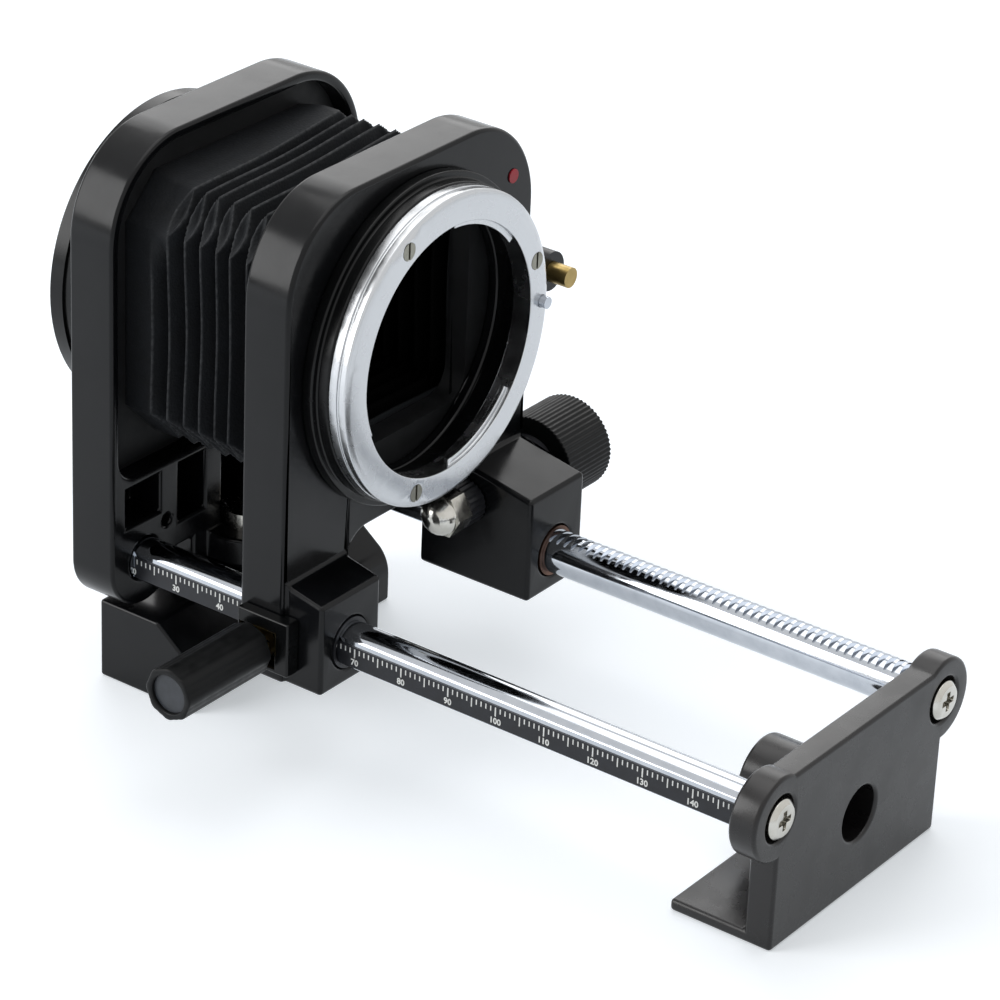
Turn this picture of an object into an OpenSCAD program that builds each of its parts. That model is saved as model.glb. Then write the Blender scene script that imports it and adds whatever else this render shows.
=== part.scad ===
// Macro bellows unit: two standards on twin rods, with a rack drive, a clamp and a swivel tripod shoe.
// Millimetres. The origin is the mouth of the tripod socket, on the surface that the unit stands on.
// X runs along the rods from the camera end to the end plate, Y runs across to the rack rod, Z is up.

/* [Rods and scale] */
// Distance between the centres of the two rods
rod_spacing = 50; // [47:0.5:54]
// Diameter of each rod
rod_dia = 8; // [7.6:0.1:8.4]
// Height of the rods' centres above the surface that the unit stands on
rod_height = 25.5; // [25:0.25:29]
// Length of rod between the rear standard and the end plate
rod_span = 129.6; // [126:0.1:160]
// Depth of the flat that carries the scale strip
scale_flat_depth = 0.9; // [0.7:0.05:1.2]
// Width of the scale strip
scale_strip_width = 4; // [3.6:0.1:4.2]
// Thickness of the scale strip
scale_strip_thickness = 0.2; // [0.1:0.05:0.3]
// Spacing of the rack teeth along the rod
rack_pitch = 1.6; // [1.5:0.02:1.7]

/* [Standards] */
// Thickness of both standards along the rods
standard_depth = 9.7; // [9:0.1:12]
// Width of both standards
standard_width = 67.6; // [66.5:0.2:76]
// Height of the standards' top edge above the rods' centres
standard_top = 79.5; // [78:0.5:88]
// Radius of the standards' top corners
standard_corner = 18; // [13:0.5:20]
// Thickness of the standards' rims
rim_wall = 2; // [1.5:0.1:2.4]
// Thickness of the standards' plates
plate_wall = 2.5; // [2:0.1:3]
// Distance from the tripod screw back to the rear standard's front face
standard_setback = 2.9; // [2.5:0.1:4]
// Gap between the two standards at rest
standard_gap = 28.9; // [27:0.1:34]
// Height of the optical axis above the rods' centres
optical_height = 46.7; // [46:0.1:48]

/* [Bellows] */
// Outside width of the bellows
bellows_width = 52; // [48:0.5:56]
// Outside height of the bellows
bellows_height = 49.6; // [46:0.2:52]
// Size of the cut corners of the bellows
bellows_corner = 7.5; // [5:0.25:9]
// Depth of each fold
fold_depth = 6.4; // [5:0.1:7]
// Number of folds
fold_count = 9; // [6:1:11]
// Thickness of the bellows' cloth across a fold
cloth_wall = 1.1; // [0.8:0.1:1.6]

/* [Lens side] */
// Width of the lens ring's face, from its bore to its rim
lens_ring_width = 5.4; // [4.8:0.1:6.4]
// Thickness of the lens ring
lens_ring_depth = 3.9; // [3.4:0.1:5]
// Inside diameter of the lens ring between its tabs
throat_dia = 44; // [43:0.1:45]
// How far the tabs reach in
tab_reach = 1; // [0.8:0.05:1.4]
// Thickness of the tabs
tab_thickness = 1; // [0.8:0.1:1.6]
// Angle that each tab takes up, in degrees
tab_angle = 48; // [40:1:56]
// Length of the black collar behind the lens ring
lens_collar_depth = 4.4; // [4:0.1:6]

/* [Camera side] */
// Diameter of the collar behind the rear standard
camera_collar_dia = 57.5; // [57:0.1:60]
// Length of the collar behind the rear standard
camera_collar_depth = 7.4; // [6:0.1:10]
// Diameter of the camera bayonet's barrel
barrel_dia = 43.4; // [42.6:0.1:43.8]
// Length of the camera bayonet's barrel
barrel_length = 4.3; // [3.8:0.1:6]

/* [Drive] */
// Number of teeth on the pinion
pinion_teeth = 20; // [18:1:20]
// Diameter of the drive knob
drive_knob_dia = 18; // [16:0.5:20]
// Length of the drive knob
drive_knob_length = 12.5; // [10:0.5:16]
// Diameter of the pinion's shaft
shaft_dia = 5; // [4.6:0.1:5.4]

/* [Clamp] */
// Diameter of the clamp knob
clamp_knob_dia = 9.7; // [9:0.1:11]
// Length of the clamp knob
clamp_knob_length = 21.5; // [18:0.5:26]
// Diameter of the clamp screw
clamp_screw_dia = 5; // [4.6:0.1:5.4]

/* [End plate] */
// Thickness of the end plate
end_plate_depth = 5.3; // [5:0.1:8]
// Width of the end plate below its ears
end_plate_width = 50.6; // [46:0.2:56]
// Diameter of the hole in the end plate
end_hole_dia = 10; // [9:0.25:11]
// Length of the end plate's foot
end_foot_length = 14.7; // [10:0.1:18]
// Thickness of the end plate's foot
end_foot_wall = 2.2; // [2:0.1:3]

/* [Tripod shoe] */
// Length of the shoe along the rods
shoe_length = 22; // [20:0.5:26]
// Width of the shoe across the rods
shoe_width = 56.2; // [50:0.2:60]
// Height of the shoe
shoe_height = 15.5; // [15:0.1:15.8]
// Inside diameter of the tripod socket
socket_dia = 6.35; // [6.2:0.05:6.5]

/* [Hidden] */
$fn = 96;

// Clearances: fixed pieces in their seats, turning and sliding fits, and open gaps
seat_gap = 0.03;
running_gap = 0.04;
open_gap = 0.3;
// How far a cutting shape runs past the face that it cuts
overrun = 1;

// Stations along X
rear_front = -standard_setback;
rear_back = rear_front - standard_depth;
front_rear = rear_front + standard_gap;
front_face = front_rear + standard_depth;
end_inner = rear_front + rod_span;
end_outer = end_inner + end_plate_depth;

// Places across and up
rod_y = rod_spacing / 2;
rod_r = rod_dia / 2;
axis_z = rod_height + optical_height;
half_width = standard_width / 2;
top_z = rod_height + standard_top;

// Rods and their seats
rod_seat_depth = 1.6;
rod_socket_wall = 1.6;
rod_rear = rear_back + rod_socket_wall;
rod_front = end_inner + rod_seat_depth;
rod_screw_dia = 3.5;
rod_screw_depth = 9;
flat_face = rod_r - scale_flat_depth;
strip_end_gap = 0.2;
strip_drop = 0.4;
grub_dia = 3;
grub_length = 4;

// Rack and pinion: the pinion's teeth are thinner than the spaces cut into the round rod
module_size = rack_pitch / PI;
pitch_r = pinion_teeth * module_size / 2;
rack_tooth_share = 0.5;
pinion_tooth_share = 0.36;
tip_share = 0.8;
root_share = 1.15;
flank_angle = 20;
rack_pitch_line = rod_r - tip_share * module_size;
rack_root = rack_pitch_line - root_share * module_size;
rack_cutter_rise = 0.5;
rack_cutter_top = rod_r + rack_cutter_rise;
rack_start = 19;
pinion_inset = 10.5;
pinion_x = front_rear + pinion_inset;
pinion_z = rod_height + rack_pitch_line + pitch_r;
pinion_r = pitch_r + tip_share * module_size;
pinion_face = 7;
cavity_r = pinion_r + open_gap;

// Rear standard
lobe_r = 8.8;
recess_margin = 4.8;
recess_bottom = axis_z - bellows_height / 2 - recess_margin;
recess_corner = 4.5;
recess_floor = rear_back + plate_wall;
rib_bar = 1.9;
outer_pocket = [21, 30];
outer_pocket_rise = 7.7;
outer_pocket_bottom = rod_height + outer_pocket_rise;
inner_pocket = [8.9, 16];
inner_pocket_rise = 3.7;
inner_pocket_bottom = rod_height + inner_pocket_rise;
middle_pocket = 4;
web_drop = 1.2;
web_bottom = rod_height - web_drop;
bore_land = 1.7;
peep_hole_dia = 2.2;
peep_hole_y = 19.2;
peep_hole_rise = 5.2;
peep_hole_z = rod_height + peep_hole_rise;
light_dia = 42;

// Pivot that carries the tripod shoe under the rear standard
ear_r = 8;
ear_root_half = 12;
ear_bottom = 18.5;
ear_top = 24;
pivot_dia = 6;
pivot_head_dia = 9.5;
pivot_head_height = 3.3;
pivot_grip = 6;
pivot_slot_width = 1.2;
pivot_slot_depth = 1;
pad_dia = 18;
washer_dia = 12;
washer_thickness = 0.6;
pad_top = ear_bottom - washer_thickness;
bush_dia = 10;
bush_length = 9;
socket_depth = 7.5;
shoe_ridge = 2.3;
shoe_lip = 5.5;
shoe_round = 7;

// Front standard and its feet
foot_half = 8;
foot_drop = 7.5;
foot_bottom = rod_height - foot_drop;
arch_rise = 14.4;
arch_top = rod_height + arch_rise;
arch_corner = 6;
arch_half = rod_y - foot_half;
scale_foot_length = 17.5;
scale_foot_tops = [11.5, 9.7];
rack_foot_length = 24.4;
rack_foot_tops = [15.4, 12.6];
tray_front = front_face - plate_wall;
tray_corner = standard_corner - rim_wall;
rod_bush_wall = 0.7;
rod_bush_length = 2.5;
rod_tunnel_gap = 0.6;

// Bellows frames
rear_frame_depth = 3.4;
front_frame_depth = 4.4;
frame_bottom = arch_top + rim_wall;
frame_window = 38;
frame_window_corner = 5;
bellows_rear = recess_floor + rear_frame_depth;
bellows_front = tray_front - front_frame_depth;
skirt_length = 5.3;
fold_pitch = (bellows_front - bellows_rear - skirt_length) / (fold_count - 0.5);

// Lens side
body_dia = throat_dia + 2 * tab_reach;
lens_ring_dia = body_dia + 2 * lens_ring_width;
tab_angles = [63.5, 180.5, 298];
tab_recess = 0.8;
collar_step_depth = 2.1;
collar_step_reach = 1.6;
collar_step_dia = lens_ring_dia + 2 * collar_step_reach;
collar_reach = 0.3;
collar_dia = lens_ring_dia + 2 * collar_reach;
collar_bore_wall = 1.5;
collar_bore_dia = body_dia + 2 * collar_bore_wall;
collar_front = front_face + lens_collar_depth;
lens_ring_front = collar_front + lens_ring_depth;
ring_groove_width = 0.5;
ring_groove_depth = 0.35;
ring_groove_inset = 1.6;
ring_bevel = 1.2;
mount_screw_circle = (body_dia + lens_ring_dia) / 4;
lens_screw_angles = [19, 119, 251];
screw_dia = 1.7;
screw_head_dia = 3.2;
screw_head_depth = 1;
screw_slot_width = 0.5;
screw_slot_depth = 0.45;
screw_depth = 6;
lock_pin_dia = 2.2;
lock_pin_offset = 0.6;
lock_pin_circle = mount_screw_circle + lock_pin_offset;
lock_pin_stand = 1.3;
lock_pin_travel = 1.5;
lock_pin_rear = front_face + lock_pin_travel + open_gap;
dot_dia = 2.6;
dot_height = 0.25;
dot_margin = 4.6;
dot_circle = collar_step_dia / 2 + dot_margin;
dot_angle = 37.4;

// Release button, which points forward from a boss beside the lens collar
release_margin = 8.2;
release_y = lens_ring_dia / 2 + release_margin;
release_lift = 0.5;
release_z = axis_z + release_lift;
release_boss_dia = 7.4;
release_boss_stand = 2.8;
release_boss_front = front_face + release_boss_stand;
release_boss_length = 6;
release_boss_rear = release_boss_front - release_boss_length;
release_web = 4.4;
release_button_dia = 3.8;
release_button_stand = 4.2;
release_travel = 1.5;
release_stem_dia = 1.4;
release_stem_inset = 0.5;
release_well_dia = release_button_dia + 2 * running_gap;
release_well_depth = 4.5;
release_well_floor = release_boss_front - release_well_depth;
release_head_rear = release_boss_front - release_travel - running_gap - open_gap;
spring_wire = 0.3;
spring_turns = 3;
spring_sides = 6;
spring_steps = 12;

// Camera side
camera_ring_depth = 1.6;
camera_rim_wall = 1.75;
camera_ring_dia = camera_collar_dia - 2 * camera_rim_wall;
camera_screw_circle = (barrel_dia + camera_ring_dia) / 4;
collar_rear = rear_back - camera_collar_depth;
camera_ring_rear = collar_rear - camera_ring_depth;
barrel_rear = camera_ring_rear - barrel_length;
barrel_wall = 2.3;
lug_reach = 1;
lug_thickness = 1.2;
lug_angle = 44;
collar_groove_width = 1.2;
collar_groove_depth = 0.5;
notch_dia = 2.6;
notch_depth = 1;

// Drive shaft pieces
shaft_bush_dia = 2 * cavity_r;
shaft_bush_inner = rod_y + pinion_face / 2 + open_gap;
shaft_bush_stand = 2.4;
shaft_bush_outer = rod_y + foot_half + shaft_bush_stand;
knob_stand = 0.6;
knob_inner = shaft_bush_outer + knob_stand;
knob_outer = knob_inner + drive_knob_length;
knob_cap_wall = 2.5;
knob_dish_dia = 11;
knob_dish_depth = 1.2;
knurl_count = 60;
knurl_depth = 0.38;
knob_grub_inset = 3.2;
knob_grub_y = knob_inner + knob_dish_depth + knob_grub_inset;
tension_collar_dia = 8.4;
tension_collar_length = 4;
tension_knurl_count = 24;
tension_knurl_depth = 0.25;
tension_outer = rod_y - foot_half - open_gap;
tension_inner = tension_outer - tension_collar_length;
nut_across = 7.5;
nut_length = 3.8;
nut_outer = tension_inner - seat_gap;
nut_inner = nut_outer - nut_length;
dome_length = 3;
shaft_thread_dia = 4;

// Clamp pieces
clamp_inset = 5.5;
clamp_x = front_rear + clamp_inset;
housing_depth = 3.1;
housing_start = 1.4;
housing_length = 11.1;
housing_low = 4.3;
housing_high = 6;
housing_pocket_half = 3.3;
housing_pocket_front = 4.1;
housing_pocket_depth = 2;
housing_outer = rod_y + foot_half + housing_depth;
clamp_ring_dia = 6.2;
housing_pocket_rear = clamp_ring_dia / 2 + open_gap;
clamp_ring_length = 1.4;
clamp_knob_root = housing_outer + clamp_ring_length + seat_gap;
clamp_knob_end = clamp_knob_root + clamp_knob_length;
clamp_lobes = 8;
clamp_lobe_r = 1.9;
clamp_groove_share = 0.06;
clamp_cap_dia = 7;
clamp_cap_depth = 1.4;
clamp_pad_dia = 4.4;
clamp_pad_thickness = 1.3;
clamp_pad_gap = 0.25;
clamp_pad_inner = rod_y + flat_face + scale_strip_thickness + clamp_pad_gap;
clamp_screw_tip = clamp_pad_inner + clamp_pad_thickness + clamp_pad_gap;
clamp_screw_grip = 8;

// End plate
ear_plate_r = 7.7;
end_web_rise = 6.5;
end_web_top = rod_height + end_web_rise;
end_boss_r = 7.5;
end_hole_drop = 10.7;
end_hole_z = rod_height - end_hole_drop;
counterbore_dia = 8.4;
counterbore_depth = 2.2;
end_screw_head_dia = 7.2;
end_screw_stand = 0.8;
end_screw_cross = 1.1;
end_screw_cross_depth = 1.4;

// Extrudes a (Y, Z) outline along X from one station to another
module slab_x(from, to) {
    translate([from, 0, 0])
        rotate([90, 0, 90])
            linear_extrude(to - from)
                children();
}

// Extrudes an (X, Z) outline along Y from one station to another
module slab_y(from, to) {
    translate([0, to, 0])
        rotate([90, 0, 0])
            linear_extrude(to - from)
                children();
}

// A round bar along X
module bar_x(from, to, dia, y, z) {
    translate([from, y, z])
        rotate([0, 90, 0])
            cylinder(h = to - from, d = dia);
}

// A round bar along Y
module bar_y(from, to, dia, x, z) {
    translate([x, from, z])
        rotate([-90, 0, 0])
            cylinder(h = to - from, d = dia);
}

// A round bar along Z
module bar_z(from, to, dia, x, y) {
    translate([x, y, from])
        cylinder(h = to - from, d = dia);
}

// A turned piece about the optical axis from a profile of (radius, X) points
module turned_x(points) {
    translate([0, 0, axis_z])
        rotate([0, 90, 0])
            rotate_extrude()
                polygon(points);
}

// A square-footed outline with two round top corners, from (half width, bottom, top, corner radius)
module arched_outline(half, bottom, top, corner) {
    translate([-half, bottom])
        square([2 * half, top - corner - bottom]);
    translate([-half + corner, bottom])
        square([2 * (half - corner), top - bottom]);
    for (side = [-1, 1])
        translate([side * (half - corner), top - corner])
            circle(r = corner);
}

// A rectangle with four round corners
module rounded_outline(half, bottom, top, corner, low_corner) {
    translate([-half, bottom + low_corner])
        square([2 * half, top - corner - bottom - low_corner]);
    translate([-half + corner, bottom + low_corner])
        square([2 * (half - corner), top - bottom - low_corner]);
    translate([-half + low_corner, bottom])
        square([2 * (half - low_corner), low_corner]);
    for (side = [-1, 1]) {
        translate([side * (half - corner), top - corner])
            circle(r = corner);
        translate([side * (half - low_corner), bottom + low_corner])
            circle(r = low_corner);
    }
}

// A closed band outline for a straight knurl: shallow points all round a circle
function knurl_points(dia, count, depth) = [
    for (i = [0:2 * count - 1])
        (dia / 2 - (i % 2) * depth) * [cos(180 * i / count), sin(180 * i / count)]
];

// A slotted countersunk screw whose head's face looks along +Z at zero
module countersunk_screw() {
    difference() {
        union() {
            translate([0, 0, -screw_depth])
                cylinder(h = screw_depth, d = screw_dia);
            translate([0, 0, -screw_head_depth])
                cylinder(h = screw_head_depth, d1 = screw_dia, d2 = screw_head_dia);
        }
        translate([-screw_head_dia, -screw_slot_width / 2, -screw_slot_depth])
            cube([2 * screw_head_dia, screw_slot_width, screw_slot_depth + overrun]);
    }
}

// The seat of a countersunk screw, cut along with the piece's bore
module countersunk_seat() {
    translate([0, 0, -screw_depth - seat_gap])
        cylinder(h = screw_depth + overrun, d = screw_dia + 2 * seat_gap);
    translate([0, 0, -screw_head_depth])
        cylinder(h = screw_head_depth, d1 = screw_dia + 2 * seat_gap, d2 = screw_head_dia + 2 * seat_gap);
    cylinder(h = overrun, d = screw_head_dia + 2 * seat_gap);
}

// Places children on a circle about the optical axis, with +Z turned to look along +X
module on_front(x, radius, angles) {
    for (angle = angles)
        translate([x, radius * cos(angle), axis_z + radius * sin(angle)])
            rotate([0, 90, 0])
                children();
}

// The same, with +Z turned to look along -X
module on_rear(x, radius, angles) {
    for (angle = angles)
        translate([x, radius * cos(angle), axis_z + radius * sin(angle)])
            rotate([0, -90, 0])
                children();
}

// The wedges of a circle that lie within half an angle of each of three directions
module wedges(angles, width, reach) {
    for (angle = angles)
        polygon([
            [0, 0],
            reach * [cos(angle - width / 2), sin(angle - width / 2)],
            reach * [cos(angle), sin(angle)],
            reach * [cos(angle + width / 2), sin(angle + width / 2)]
        ]);
}

// Rear standard: a shallow tray with lobes round the rods, ribs, pockets and the pivot ear
module rear_outline() {
    arched_outline(half_width, rod_height, top_z, standard_corner);
    translate([-half_width + lobe_r, web_bottom])
        square([2 * (half_width - lobe_r), rod_height - web_bottom]);
    for (side = [-1, 1])
        translate([side * (half_width - lobe_r), rod_height])
            circle(r = lobe_r);
    translate([-ear_root_half, ear_bottom])
        square([2 * ear_root_half, rod_height - ear_bottom]);
}

module rear_pockets() {
    for (side = [0, 1])
        mirror([side, 0]) {
            difference() {
                translate([outer_pocket[0], outer_pocket_bottom])
                    square([outer_pocket[1] - outer_pocket[0],
                            recess_bottom - rib_bar - outer_pocket_bottom]);
                translate([rod_y, rod_height])
                    circle(r = rod_r + rod_bush_wall + bore_land);
            }
            translate([inner_pocket[0], inner_pocket_bottom])
                square([inner_pocket[1] - inner_pocket[0],
                        recess_bottom - rib_bar - inner_pocket_bottom]);
        }
    translate([-middle_pocket, ear_top])
        square([2 * middle_pocket, recess_bottom - rib_bar - ear_top]);
}

module rear_standard() {
    color("#17181a")
        difference() {
            union() {
                slab_x(rear_back, rear_front)
                    rear_outline();
                bar_z(ear_bottom, ear_top, 2 * ear_r, 0, 0);
                translate([rear_front - overrun, -ear_r, ear_bottom])
                    cube([standard_setback + overrun, 2 * ear_r, ear_top - ear_bottom]);
            }
            slab_x(recess_floor, rear_front + overrun)
                rounded_outline(half_width - rim_wall, recess_bottom, top_z - rim_wall,
                                tray_corner, recess_corner);
            slab_x(recess_floor, rear_front + overrun)
                rear_pockets();
            bar_x(rear_back - overrun, recess_floor + overrun, light_dia, 0, axis_z);
            for (side = [-1, 1]) {
                bar_x(rod_rear, rear_front + overrun, rod_dia + 2 * seat_gap, side * rod_y, rod_height);
                bar_z(rod_height - lobe_r - overrun, rod_height, grub_dia + 2 * seat_gap,
                      (rear_back + rear_front) / 2, side * rod_y);
                bar_x(rear_front - standard_depth / 2, rear_front + overrun, peep_hole_dia,
                      side * peep_hole_y, peep_hole_z);
            }
            bar_z(ear_bottom - overrun, ear_top + overrun, pivot_dia + 2 * running_gap, 0, 0);
            bar_z(ear_top, ear_top + pivot_head_height + overrun, pivot_head_dia + 2 * open_gap, 0, 0);
        }
}

// Camera collar: a black disc behind the rear standard, with one turned groove and a seat for the bayonet
module camera_collar() {
    seat_r = camera_ring_dia / 2 + seat_gap;
    outer_r = camera_collar_dia / 2;
    color("#141416")
        difference() {
            turned_x([
                [light_dia / 2, collar_rear],
                [seat_r, collar_rear],
                [seat_r, camera_ring_rear],
                [outer_r, camera_ring_rear],
                [outer_r, collar_rear + collar_groove_width],
                [outer_r - collar_groove_depth, collar_rear + collar_groove_width],
                [outer_r - collar_groove_depth, collar_rear + 2 * collar_groove_width],
                [outer_r, collar_rear + 2 * collar_groove_width],
                [outer_r, rear_back],
                [light_dia / 2, rear_back]
            ]);
            on_rear(camera_ring_rear, camera_screw_circle, tab_angles)
                countersunk_seat();
        }
}

// Camera bayonet: a flat ring with a barrel and three lugs
module camera_bayonet() {
    barrel_inner = barrel_dia - 2 * barrel_wall;
    color("#c9ccd1")
        union() {
            difference() {
                turned_x([
                    [barrel_inner / 2, barrel_rear],
                    [barrel_dia / 2, barrel_rear],
                    [barrel_dia / 2, camera_ring_rear],
                    [camera_ring_dia / 2, camera_ring_rear],
                    [camera_ring_dia / 2, collar_rear],
                    [barrel_inner / 2, collar_rear]
                ]);
                on_rear(camera_ring_rear, camera_screw_circle, tab_angles)
                    countersunk_seat();
                on_rear(camera_ring_rear, camera_screw_circle + lock_pin_offset, [0])
                    translate([0, 0, -notch_depth])
                        cylinder(h = notch_depth + overrun, d = notch_dia);
            }
            translate([0, 0, axis_z])
                slab_x(barrel_rear, barrel_rear + lug_thickness)
                    intersection() {
                        difference() {
                            circle(d = barrel_dia + 2 * lug_reach);
                            circle(d = barrel_dia - barrel_wall);
                        }
                        wedges(tab_angles, lug_angle, camera_ring_dia);
                    }
        }
}

module camera_mount_screws() {
    color("#b9bcc2")
        on_rear(camera_ring_rear, camera_screw_circle, tab_angles)
            countersunk_screw();
}

// Boards that the bellows' ends are glued to, each with a window for the light
module frame_board(half, bottom, top, corner, low_corner) {
    difference() {
        rounded_outline(half, bottom, top, corner, low_corner);
        rounded_outline(frame_window / 2, axis_z - frame_window / 2, axis_z + frame_window / 2,
                        frame_window_corner, frame_window_corner);
    }
}

module bellows_rear_frame() {
    color("#1b1b1d")
        slab_x(recess_floor, bellows_rear)
            frame_board(half_width - rim_wall - seat_gap, recess_bottom + seat_gap,
                        top_z - rim_wall - seat_gap, tray_corner, recess_corner);
}

module bellows_front_frame() {
    color("#1b1b1d")
        slab_x(bellows_front, tray_front)
            frame_board(half_width - rim_wall - seat_gap, frame_bottom + seat_gap,
                        top_z - rim_wall - seat_gap, tray_corner, recess_corner);
}

// Bellows: rings of eight points, two to a fold, outside and inside
function ring_point(k, inset) =
    let (
        w = bellows_width / 2 - inset,
        h = bellows_height / 2 - inset,
        c = bellows_corner
    )
    [[w, h - c], [w - c, h], [c - w, h], [-w, h - c], [-w, c - h], [c - w, -h], [w - c, -h], [w, c - h]][k];

function fold_station(i) =
    i == 0 ? bellows_rear : bellows_rear + skirt_length + (i - 1) * fold_pitch / 2;

function fold_inset(i) = i == 0 ? 0 : (i % 2 == 1 ? 0 : fold_depth);

module bellows() {
    last = 2 * fold_count;
    points = [
        for (skin = [0, 1])
            for (i = [0:last])
                for (k = [0:7])
                    let (p = ring_point(k, fold_inset(i) + skin * cloth_wall))
                    [fold_station(i), p[0], axis_z + p[1]]
    ];
    inner = 8 * (last + 1);
    outside = [
        for (i = [0:last - 1])
            for (k = [0:7])
                each [[8 * i + k, 8 * (i + 1) + k, 8 * i + (k + 1) % 8],
                      [8 * i + (k + 1) % 8, 8 * (i + 1) + k, 8 * (i + 1) + (k + 1) % 8]]
    ];
    inside = [for (f = outside) [inner + f[0], inner + f[2], inner + f[1]]];
    ends = [
        for (k = [0:7])
            each [[k, (k + 1) % 8, inner + k],
                  [(k + 1) % 8, inner + (k + 1) % 8, inner + k],
                  [8 * last + k, inner + 8 * last + k, 8 * last + (k + 1) % 8],
                  [8 * last + (k + 1) % 8, inner + 8 * last + k, inner + 8 * last + (k + 1) % 8]]
    ];
    color("#1f2022")
        polyhedron(points = points, faces = concat(outside, inside, ends));
}

// Scale rod: a flat along its outer side takes the strip
module scale_rod() {
    color("#d5d8dc")
        difference() {
            bar_x(rod_rear, rod_front, rod_dia, -rod_y, rod_height);
            translate([rear_front, -rod_y - rod_dia, rod_height - rod_dia])
                cube([rod_span, rod_dia - flat_face, 2 * rod_dia]);
            bar_x(rod_front - rod_screw_depth, rod_front + overrun,
                  rod_screw_dia + 2 * seat_gap, -rod_y, rod_height);
        }
}

module scale_strip() {
    color("#0d0d0e")
        translate([rear_front + strip_end_gap, -rod_y - flat_face - scale_strip_thickness,
                   rod_height - strip_drop - scale_strip_width / 2])
            cube([rod_span - 2 * strip_end_gap, scale_strip_thickness, scale_strip_width]);
}

// Rack rod: straight teeth cut across its top, in step with the pinion
function rack_gap_points(k) =
    let (
        x = pinion_x + k * rack_pitch,
        half = (1 - rack_tooth_share) * rack_pitch / 2,
        up = (rack_cutter_top - rack_pitch_line) * tan(flank_angle),
        down = (rack_pitch_line - rack_root) * tan(flank_angle)
    )
    [
        [x - half - up, rod_height + rack_cutter_top],
        [x - half + down, rod_height + rack_root],
        [x + half - down, rod_height + rack_root],
        [x + half + up, rod_height + rack_cutter_top]
    ];

module rack_rod() {
    first = ceil((rack_start - pinion_x) / rack_pitch);
    last = floor((end_inner - rack_pitch - pinion_x) / rack_pitch);
    gap_points = [for (k = [first:last]) each rack_gap_points(k)];
    color("#d5d8dc")
        difference() {
            bar_x(rod_rear, rod_front, rod_dia, rod_y, rod_height);
            slab_y(rod_y - rod_dia, rod_y + rod_dia)
                polygon(concat(
                    gap_points,
                    [[end_inner - rack_pitch / 2, rod_height + rack_cutter_top],
                     [end_inner - rack_pitch / 2, rod_height + rod_dia],
                     [rack_start - rack_pitch, rod_height + rod_dia],
                     [rack_start - rack_pitch, rod_height + rack_cutter_top]]
                ));
            bar_x(rod_front - rod_screw_depth, rod_front + overrun,
                  rod_screw_dia + 2 * seat_gap, rod_y, rod_height);
        }
}

module rod_grub_screws() {
    color("#3a3b3e")
        for (side = [-1, 1])
            difference() {
                bar_z(rod_height - rod_r - seat_gap - grub_length, rod_height - rod_r - seat_gap,
                      grub_dia, (rear_back + rear_front) / 2, side * rod_y);
                translate([(rear_back + rear_front) / 2, side * rod_y,
                           rod_height - rod_r - seat_gap - grub_length - overrun])
                    cylinder(h = grub_dia / 2 + overrun, d = grub_dia / 2, $fn = 6);
            }
}

// End plate: a foot, a web with two round ears, and a boss behind its hole
module end_plate() {
    color("#17181a")
        difference() {
            union() {
                slab_x(end_inner, end_outer) {
                    translate([-end_plate_width / 2, 0])
                        square([end_plate_width, end_web_top]);
                    for (side = [-1, 1])
                        translate([side * rod_y, rod_height])
                            circle(r = ear_plate_r);
                }
                bar_x(end_inner - end_foot_length, end_outer, 2 * end_boss_r, 0, end_hole_z);
                translate([end_inner - end_foot_length, -end_plate_width / 2, 0])
                    cube([end_foot_length + overrun, end_plate_width, end_foot_wall]);
            }
            bar_x(end_inner - end_foot_length - overrun, end_outer + overrun, end_hole_dia, 0, end_hole_z);
            for (side = [-1, 1]) {
                bar_x(end_inner - overrun, rod_front, rod_dia + 2 * seat_gap, side * rod_y, rod_height);
                bar_x(end_inner, end_outer, rod_screw_dia + 2 * seat_gap, side * rod_y, rod_height);
                bar_x(end_outer - counterbore_depth, end_outer + overrun, counterbore_dia,
                      side * rod_y, rod_height);
            }
        }
}

// Pan-head screws that hold the rods to the end plate, with a cross recess
module end_screws() {
    head_rear = end_outer - counterbore_depth;
    head_front = end_outer + end_screw_stand;
    color("#d5d8dc")
        for (side = [-1, 1])
            difference() {
                union() {
                    bar_x(rod_front - rod_screw_depth + rod_seat_depth, head_rear,
                          rod_screw_dia, side * rod_y, rod_height);
                    bar_x(head_rear, head_front - end_screw_stand, end_screw_head_dia,
                          side * rod_y, rod_height);
                    translate([head_front - end_screw_stand, side * rod_y, rod_height])
                        rotate([0, 90, 0])
                            cylinder(h = end_screw_stand, d1 = end_screw_head_dia,
                                     d2 = end_screw_head_dia - 2 * end_screw_stand);
                }
                for (turn = [0, 90])
                    translate([head_front - end_screw_cross_depth, side * rod_y, rod_height])
                        rotate([turn, 0, 0])
                            translate([0, -end_screw_head_dia / 4, -end_screw_cross / 2])
                                cube([end_screw_cross_depth + overrun,
                                      end_screw_head_dia / 2, end_screw_cross]);
            }
}

// Tripod shoe: a block whose front slopes down to a lip, with a round pad on top
shoe_points = [
    [-shoe_length / 2, 0],
    [shoe_length / 2, 0],
    each [for (turn = [0:9:45])
        [shoe_length / 2 - shoe_round * (1 - cos(turn)), shoe_lip + shoe_round * sin(turn)]],
    [shoe_ridge, shoe_height],
    [-shoe_length / 2, shoe_height]
];

module tripod_block() {
    color("#17181a")
        difference() {
            slab_y(-shoe_width / 2, shoe_width / 2)
                polygon(shoe_points);
            bar_z(-overrun, bush_length + seat_gap, bush_dia + 2 * seat_gap, 0, 0);
            bar_z(bush_length, shoe_height + overrun, pivot_dia + 2 * seat_gap, 0, 0);
        }
}

module tripod_bush() {
    color("#b8babd")
        difference() {
            bar_z(0, bush_length, bush_dia, 0, 0);
            bar_z(-overrun, socket_depth, socket_dia, 0, 0);
        }
}

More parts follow.
